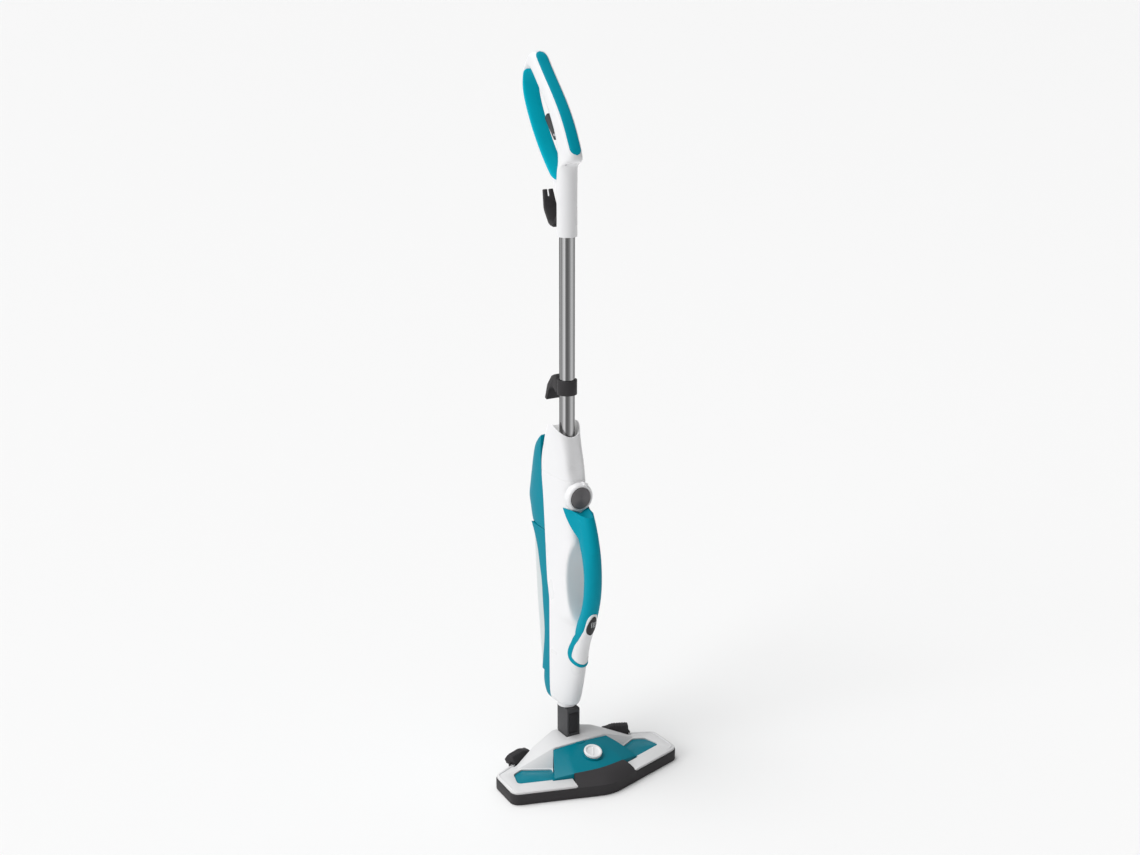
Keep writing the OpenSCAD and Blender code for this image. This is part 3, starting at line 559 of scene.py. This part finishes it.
def grip_trim():
    reach = pchip([(398, 9), (404, 11.5), (412, 13.6), (420, 15.8), (428, 18), (436, 19.6), (447, 20.9),
                   (456, 21.5), (460, 21.7)])
    rows = [(-reach(z), z, reach(z), z) for z in np.linspace(398, 460, 32)]
    patch("grip_root", rows, TEAL_SOFT, [], 0.6)
    edge = [(13.2, 270, 9.8, 270), (13.6, 262, 10.2, 262), (14.4, 250, 11.6, 250), (16, 238, 12.7, 238),
            (17.6, 225, 14, 226), (18.3, 213, 15, 214), (17.9, 204, 15.1, 205), (16.4, 196.9, 13.4, 200.3),
            (13, 191.6, 10.6, 196.6), (8.5, 188.6, 7.2, 194.3), (4, 187.2, 3.5, 193.2), (0, 187, 0, 193)]
    edge = edge + [(-a, b, -c, d) for a, b, c, d in edge[-2::-1]]
    patch("grip_tail", smooth_rows(edge, 5), TEAL_SOFT, [], 0.55)
    wide = pchip([(192.8, 0.4), (193.4, 4.2), (194.7, 7.8), (197, 11.0), (200.5, 13.7), (206, 15.0),
                  (214, 15.1), (226, 14.2), (238, 12.9), (250, 11.8), (262, 10.4), (272, 10.2), (281, 10),
                  (287, 8.6), (291, 6.4), (293.4, 3.6), (294, 0.4)])
    heights = np.concatenate([np.linspace(192.8, 200, 12), np.linspace(203, 284, 28),
                              np.linspace(286, 294, 10)])
    patch("pad_skin", [(-wide(z), z, wide(z), z) for z in heights], WHITE, ["grip_pad"], 1.2)


CAP_PROUD = 3.9
WAVES_PROUD = 4.0


def steam_button():
    low, high = 252.5, 289.5

    def half(z):
        t = (z - low) / (high - low)
        return 9.4 * math.sqrt(max(0.0, 1 - (2 * t - 1)**2)) * (1.08 - 0.36 * t)

    def rows(grow):
        return [(-half(z) - grow, z, half(z) + grow, z) for z in
                low + (high - low) * (0.5 - 0.5 * np.cos(np.linspace(0.04, math.pi - 0.04, 26)))]
    patch("button_recess", rows(0.7), CHARCOAL, [], 1.3)
    patch("button_cap", rows(0.0), BLACK, ["steam_button"], CAP_PROUD, "steam_button")
    waves = []
    for k in (-1, 0, 1):
        rings = []
        for t in np.linspace(0, 1, 15):
            z = 269 + 11 * t
            x = k * 3.1 + 0.9 * math.sin(2 * math.pi * t + 0.4)
            y = surface(x, z) - WAVES_PROUD
            rings.append([np.array([x + 0.6 * math.cos(a), y + 0.22 * math.sin(a), z])
                          for a in np.linspace(0, 2 * math.pi, 8, endpoint=False)])
        waves.append(loft(rings))
    build("button_waves", waves, ICON, "steam_button", [])


def knob():
    centre = np.array([0, 0, KNOB_Z])
    bezel = [(17.9, -40), (17.9, -43.6), (18.4, -44.6), (19.6, -44.9), (21.2, -44.4), (22.6, -42.8),
             (23.5, -40.5), (24.0, -37), (24.2, -33)]
    tab = []
    for k in range(9):
        a = math.radians(58 + 18 * k / 8)
        tab.append([np.array([math.cos(a) * r, y, math.sin(a) * r]) + centre
                    for r, y in ((20.5, -44), (23.2, -46.2), (25.8, -44), (25.8, -36), (20.5, -36))])
    build("bezel_ring", [lathe(bezel, centre), loft(tab)], WHITE, "body", ["knob_bezel"], 40)
    face = [(0.2, -45.6)]
    for k in range(1, 25):
        face.append((k * 15.6 / 24, -45.6 - (0.22 if k % 2 else 0.0)))
    face += [(16.3, -45.9), (17.0, -45.5), (17.4, -44.6), (17.4, -41), (0.2, -41)]
    build("knob_disc", [lathe(face, centre, count=128)], KNOB, "steam_knob", ["steam_knob"], 25)


# ---- handle ---------------------------------------------------------------------------------
# Stations round the loop, from the back branch's foot over the top to the sleeve's end: the outer point's
# y and z, the inner point's y and z, the half width and the exponent of the section.
LOOP = [(9, 948, 9, 968, 13, 2.1), (16.2, 962, 16.2, 976, 13, 2.1), (27, 976.5, 23.5, 983.5, 13.2, 2.4),
        (41, 989.5, 35.5, 996, 13.5, 2.8), (57, 1006.5, 50.5, 1012.5, 13.8, 3), (73, 1026, 66, 1031, 14, 3),
        (87, 1045, 79.5, 1049, 14, 3), (99.5, 1064, 91, 1067, 14, 3), (110, 1083, 101, 1085, 14, 3),
        (117.5, 1101, 108, 1101.5, 14, 3), (119.5, 1117, 110.6, 1115, 14, 3), (116.5, 1132, 110, 1126, 14.2, 3),
        (110, 1145, 106, 1134.5, 14.5, 3), (101.5, 1156.5, 101, 1138.5, 14.7, 3),
        (90.5, 1166.5, 96, 1138.3, 14.8, 2.8), (78.5, 1161.5, 88, 1133.5, 14.8, 3),
        (65, 1146.5, 77, 1123, 14.8, 3), (48.5, 1129, 63.5, 1108.5, 14.8, 3),
        (32.5, 1112.5, 51, 1096, 14.8, 3), (17.5, 1096, 40, 1083, 14.8, 3), (3.5, 1079, 30.5, 1068, 14.8, 3),
        (-8.5, 1061.5, 22, 1053, 14.8, 3), (-19, 1043.5, 15.5, 1037, 14.8, 3),
        (-28, 1026.5, 12.4, 1021, 15, 2.9), (-31.8, 1015.5, 12.2, 1009, 15.2, 2.7),
        (-28.5, 1009.5, 12.6, 1001, 15.5, 2.5), (-17.5, 1004.5, 13.6, 992, 15.8, 2.2),
        (-16, 990, 15.4, 981, 16, 2.05), (-16, 965, 16, 965, 16, 2), (-16, 930, 16, 930, 16, 2),
        (-16, 896, 16, 896, 16, 2), (-16, 893.6, 16, 893.6, 16, 2), (-15.4, 893, 15.4, 893, 15.4, 2)]
LOOP_STEPS = 6
STRIP_ROWS = slice(14 * LOOP_STEPS + 3, 23 * LOOP_STEPS + 4)
LINING_ROWS = slice(2 * LOOP_STEPS - 5, 14 * LOOP_STEPS - 2)


def loop_frame(row):
    y0, z0, y1, z1, half, n = row
    mid = np.array([0, (y0 + y1) / 2, (z0 + z1) / 2])
    return mid, np.array([0, (y0 - y1) / 2, (z0 - z1) / 2]), half, n


def handle():
    rows = smooth_rows(LOOP, LOOP_STEPS)
    rings = []
    for row in rows:
        mid, out, half, n = loop_frame(row)
        ring = []
        for i in range(64):
            c, s = polar(2 * math.pi * i / 64, max(2.0, n))
            ring.append(mid + out * c + np.array([half * s, 0, 0]))
        rings.append(ring)
    build("handle_loop", [loft(rings)], WHITE, "body", ["handle_shell_left", "handle_shell_right"],
          50)
    strip(rows[STRIP_ROWS])
    inlay(rows[LINING_ROWS])


def inlay(rows):
    """The teal lining: the inner two thirds of the back branch's section, wrapped a little over its sides."""
    frames = [loop_frame(r) for r in rows]
    spots = [mid - out for mid, out, _, _ in frames]
    run = np.concatenate([[0], np.cumsum([np.linalg.norm(b - a) for a, b in zip(spots, spots[1:])])])
    rings = []
    for (mid, out, half, _), spot, s in zip(frames, spots, run):
        near = min(s, run[-1] - s)
        share = math.sqrt(max(0.004, 1 - max(0.0, 1 - near / 15.0)**2))
        deep = min(0.62 * np.linalg.norm(out), 3.4) * share
        radial = out / np.linalg.norm(out)
        centre = spot + radial * (deep - 0.45)
        rings.append([centre + radial * deep * c + np.array([(half + 0.2) * (0.25 + 0.75 * share) * w, 0, 0])
                      for c, w in (polar(2 * math.pi * i / 40, 3.6) for i in range(40))])
    build("handle_inlay", [loft(rings)], TEAL_BRIGHT, "body", ["handle_lining"], 60)


def strip(rows):
    """The teal strip along the loop's outer side, its ends rounded."""
    half_band, end_r, proud = 10.4, 10.5, 0.55
    frames = [loop_frame(r) for r in rows]
    spots = [mid + out for mid, out, _, _ in frames]
    run = np.concatenate([[0], np.cumsum([np.linalg.norm(b - a) for a, b in zip(spots, spots[1:])])])
    top = []
    for (mid, out, half, n), s in zip(frames, run):
        near = min(s, run[-1] - s)
        wide = half_band * math.sqrt(max(0.002, 1 - max(0.0, 1 - near / end_r)**2))
        line = []
        for k in range(25):
            u = -math.cos(math.pi * k / 24)
            x = wide * u
            deep = np.linalg.norm(out) * (1 - (abs(x) / half)**n)**(1 / n)
            lift = proud - (proud + 0.8) * abs(u)**16
            line.append(mid + out / np.linalg.norm(out) * (deep + lift) + np.array([x, 0, 0]))
        top.append(line)
    build("handle_strip", [loft(top, close=False, caps=(False, False))], TEAL_SOFT, "body",
          ["handle_front_grip"], 60)


# ---- floor head ---------------------------------------------------------------------------
def outline_front(x, grow):
    """y of the head's front edge at x, the nose being an arc."""
    x = abs(x)
    edge = -86.3 - math.sqrt(3600 - x**2) if x < 17.4 else -149 + 0.3038 * x
    return edge - grow


def bumper():
    rows = []
    for s in np.linspace(-1, 1, 41):
        ridge_y = -112 + 7.2 * abs(s)**1.4
        ridge_z = 31.4 - 1.2 * abs(s)
        foot_x = 56.5 * s
        foot_y = outline_front(foot_x, 0.25)
        top = np.array([46.5 * s, ridge_y, ridge_z])
        foot = np.array([foot_x, foot_y, 19.0])
        line = [(46.5 * s, ridge_y + 2.5, 19), (46.5 * s, ridge_y + 1.6, ridge_z - 1.2), tuple(top)]
        for t in (0.06, 0.2, 0.4, 0.6, 0.8, 0.93):
            point = top + (foot - top) * t
            point[2] += 2.6 * math.sin(math.pi * t)
            line.append(tuple(point))
        line += [tuple(foot), (foot_x, foot_y, 16), (foot_x, foot_y, 3.0), (foot_x, foot_y + 6, 3.0)]
        rows.append(line)
    build("nose_bumper", [loft(rows)], CHARCOAL, "head", ["front_bumper"], 35)


def prism(outline, low, high, bevel=0.4):
    """A closed outline in x, y raised from low to high, its top edge rounded."""
    centre = np.mean(np.array(outline), axis=0)
    rings = []
    for z, inset in ((low, 0.0), (high - bevel, 0.0), (high - bevel * 0.3, bevel * 0.3), (high, bevel)):
        ring = []
        for x, y in outline:
            away = np.array([x, y]) - centre
            away *= 1 - inset / np.linalg.norm(away)
            ring.append(np.array([*(centre + away), z]))
        rings.append(ring)
    return loft(rings)


# the selector disc's centre and the slope of the face it lies on, in degrees
DISC_AT = (3.0, -80.0, 43.4)
DISC_TILT = 18


def tilted_lathe(profile, spot):
    points, faces = lathe(profile, (0, 0, 0), "Z")
    return [tuple(spot @ Vector(p)) for p in points], faces


def panel():
    """The teal centre, one smooth ruled face from the dome's edge to the bumper's ridge, and both windows."""
    rows = []
    for s in np.linspace(-1, 1, 49):
        top = np.array([51 * s, -43.5, 45.2 + 1.6 * (1 - s**2)])
        if abs(78 * s) < 46:
            low = np.array([78 * s, -111.7 + 7 * abs(78 * s / 46)**1.4, 31.0 - 1.2 * abs(78 * s / 46)])
        else:
            t = (abs(78 * s) - 46) / 32
            low = np.array([78 * s, -104.7 + 10.2 * t, 29.8 - 5.3 * t])
        line = [(top[0], top[1] + 1.2, 19), (top[0], top[1] + 1.2, top[2] - 1.4),
                (top[0], top[1] + 0.5, top[2] - 0.3)]
        for t in np.linspace(0, 1, 13)[:-1]:
            point = top + (low - top) * t
            point[2] += 2.2 * math.sin(math.pi * t)
            line.append(tuple(point))
        line += [tuple(low - np.array([0, 0, 0.4])), (low[0], low[1] - 0.6, low[2] - 1.6),
                 (low[0], low[1] - 0.6, 19)]
        rows.append(line)
    parts = [loft(rows)]
    tab = [(9 * math.cos(a), -43.5 + 5 * math.sin(a))
           for a in np.linspace(0, 2 * math.pi, 40, endpoint=False)]
    parts.append(prism(tab, 40, 47.6, 0.8))
    window = [(70, -97), (72.5, -94.2), (134, -75.5), (135.5, -72), (127.5, -48), (122, -44), (110, -38.4),
              (106, -38.6), (66, -59.4), (64, -61), (60, -80)]
    for side in (1, -1):
        parts.append(prism([(side * x, y) for x, y in window][::side], 17.5, 19.8, 0.2))
    spot = Matrix.Translation(DISC_AT) @ Matrix.Rotation(math.radians(DISC_TILT), 4, "X")
    seat = [(17.4, -10), (17.4, -0.2), (16.9, 0.5), (15.9, 0.5), (15.6, 0.1), (15.6, -3)]
    parts.append(tilted_lathe(seat, spot))
    build("teal_panel", parts, TEAL_PANEL, "head", ["head_panel"], 35)
    disc = [(0.2, 3.0), (10.4, 3.0), (10.9, 3.2), (11.4, 4.3), (12.2, 4.7), (13.8, 4.7), (14.8, 4.1),
            (15.2, 3.0), (15.2, 0.6), (0.2, 0.9)]
    bar_half, bar_turn = 9.6, 0.5
    rings = []
    for w in (-1, -0.9, 0.9, 1):
        ring = [Vector((bar_half * w * math.sin(bar_turn) + c * math.cos(bar_turn),
                        bar_half * w * math.cos(bar_turn) - c * math.sin(bar_turn),
                        2.8 + h * (1.0 if abs(w) < 1 else 0.5)))
                for c, h in ((-1, 0), (-0.8, 1.1), (0.8, 1.1), (1, 0))]
        rings.append([spot @ v for v in ring])
    build("selector_disc", [tilted_lathe(disc, spot), loft(rings)], WHITE, "selector_knob", ["selector_knob"],
          35)


def rim_lip():
    """The raised outer edge round the tips and the back of the white rim."""
    path = np.array([(118, -106.5), (139, -99.3), (147.5, -95), (151.4, -88), (152, -78), (151.2, -48),
                     (150.2, -39), (146, -33.3), (138, -30), (110, -17.6), (70, 1.8), (50, 11.2)])
    rows = smooth_rows(path, 6)
    parts = []
    for side in (1, -1):
        rings = []
        for k, row in enumerate(rows):
            along = rows[min(k + 1, len(rows) - 1)] - rows[max(k - 1, 0)]
            along /= np.linalg.norm(along)
            across = np.array([along[1], -along[0]])
            thin = math.sin(math.pi * min(1.0, (min(k, len(rows) - 1 - k) + 0.3) / 14) / 2)
            ring = []
            for a in np.linspace(0, 2 * math.pi, 12, endpoint=False):
                spot = row + across * 1.25 * math.cos(a)
                ring.append(np.array([side * spot[0], spot[1], 21.6 + 1.5 * thin * math.sin(a)]))
            rings.append(ring[::side])
        parts.append(loft(rings))
    build("rim_lip", parts, HEAD_WHITE, "head", [], 50)


def pedals():
    """Ribbed clamp pedals, thinner at their inner ends."""
    profile = [(-3.8, -2.3), (4, -2.5), (13.6, -2.5), (15.2, -1.8), (18.3, 2.8), (18.8, 4.2), (17.6, 6.2),
               (13.4, 12.6), (12, 13.7), (10, 13.9), (6, 13.5), (3, 13), (1.6, 12.2), (-3.4, 4.2), (-3.9, 2.8)]
    half, rib_step, rib_high = 22, 2.25, 0.9
    mid_y, mid_z = 7, 5
    for name, side in (("left", -1), ("right", 1)):
        frame_at = (Matrix.Translation((92 * side, -8, 22))
                    @ Matrix.Rotation(math.radians(-22 * side), 4, "Z"))
        rings = []
        for x in [-22, -21.8, -21.2] + [k * 0.75 for k in range(-27, 28)] + [21.2, 21.8, 22]:
            end = {22: 0.86, 21.8: 0.95, 21.2: 0.99}.get(abs(x), 1.0)
            full = min(1.0, (x + half) / 20)
            tall = 0.5 + 0.5 * full * full * (3 - 2 * full)
            ridge = rib_high if -14 < x < 18 and int((x + 40) / rib_step) % 2 else 0.0
            ring = []
            for y, z in profile:
                lift = ridge if z > 12 else 0.0
                height = (z - mid_z) * end * (tall if z > mid_z else 1)
                point = Vector((side * x, mid_y + (y - mid_y) * end, mid_z + height + lift * tall))
                ring.append(tuple(frame_at @ point))
            rings.append(ring)
        node = "pedal_" + name
        build(node + "_ribbed", [loft(rings)], CHARCOAL, node, [node], 30)


def neck_collar():
    """The white edge that closes the slot in front of the neck."""
    low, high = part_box("neck_block")
    front = low[1] / MM - 0.5
    edge = [(-14, -27), (14, -27), (14, front), (-14, front)]
    build("slot_edge", [prism(edge, 46.4, 49.2, 0.5)], HEAD_WHITE, "head", [], 35)


# ---- everything else ---------------------------------------------------------------------------
def keep(node, mat):
    data = NODES[node].data
    data.materials.clear()
    data.materials.append(mat)


def taper_hook(co):
    """The hook's blade narrows towards its tip."""
    rise = min(1.0, max(0.0, (co.z / MM - 918) / 40))
    return Vector((co.x * (1 - 0.32 * rise**1.3), co.y, co.z))


SOFTENED = (("base_frame", 1.2, CHARCOAL, "charcoal"), ("head_cover", 0.7, HEAD_WHITE, "white_shell"),
            ("neck_block", 0.8, CHARCOAL_LIGHT, "charcoal"), ("neck_latch_button", 0.6, CHARCOAL, "charcoal"),
            ("tank_cap", 0.5, CHARCOAL, "charcoal"), ("tank_latch", 0.5, TEAL, "teal"),
            ("lower_cord_clip", 0.6, CHARCOAL, "charcoal"), ("trigger", 0.8, BLACK, "black_gloss"))
KEPT = ((STEEL, ("sole_plate", "head_screws", "tilt_pin", "pedal_pins", "hinge_bracket", "pedal_spring_left",
                 "pedal_spring_right", "neck_latch_spring", "body_screws", "steam_button_spring",
                 "tank_latch_spring", "handle_screws", "trigger_pin", "trigger_spring", "control_rod",
                 "hook_pivot_pin")),
        (CHROME, ("tube",)),
        (CAST, ("boiler", "pump")),
        (MOULDED, ("steam_distributor", "trigger_switch", "button_switch", "thermostat")),
        (HOSE, ("water_hose", "steam_hose")),
        (SEAL, ("cord_gland", "neck_seal", "tank_cap_seal")))


def others():
    for row in SOFTENED:
        soften(*row)
    soften("upper_cord_hook", 0.6, CHARCOAL, "charcoal", shape=taper_hook)
    for mat, nodes in KEPT:
        for node in nodes:
            keep(node, mat)


FLOOR_HALF, FLOOR_Z = 90.0, -0.0005


def floor():
    mesh = bpy.data.meshes.new("floor")
    corners = [(x * FLOOR_HALF, y * FLOOR_HALF, FLOOR_Z) for x, y in ((-1, -1), (1, -1), (1, 1), (-1, 1))]
    mesh.from_pydata(corners, [], [(0, 1, 2, 3)])
    mesh.materials.append(material("floor_white", (0.84, 0.84, 0.84), 0.7, shine=0.1))
    piece = bpy.data.objects.new("floor", mesh)
    bpy.context.scene.collection.objects.link(piece)


add_camera()
add_light()
floor()
casing_front()
casing_rear()
casing_collar()
tank()
grip()
grip_trim()
steam_button()
knob()
handle()
bumper()
panel()
rim_lip()
neck_collar()
pedals()
others()
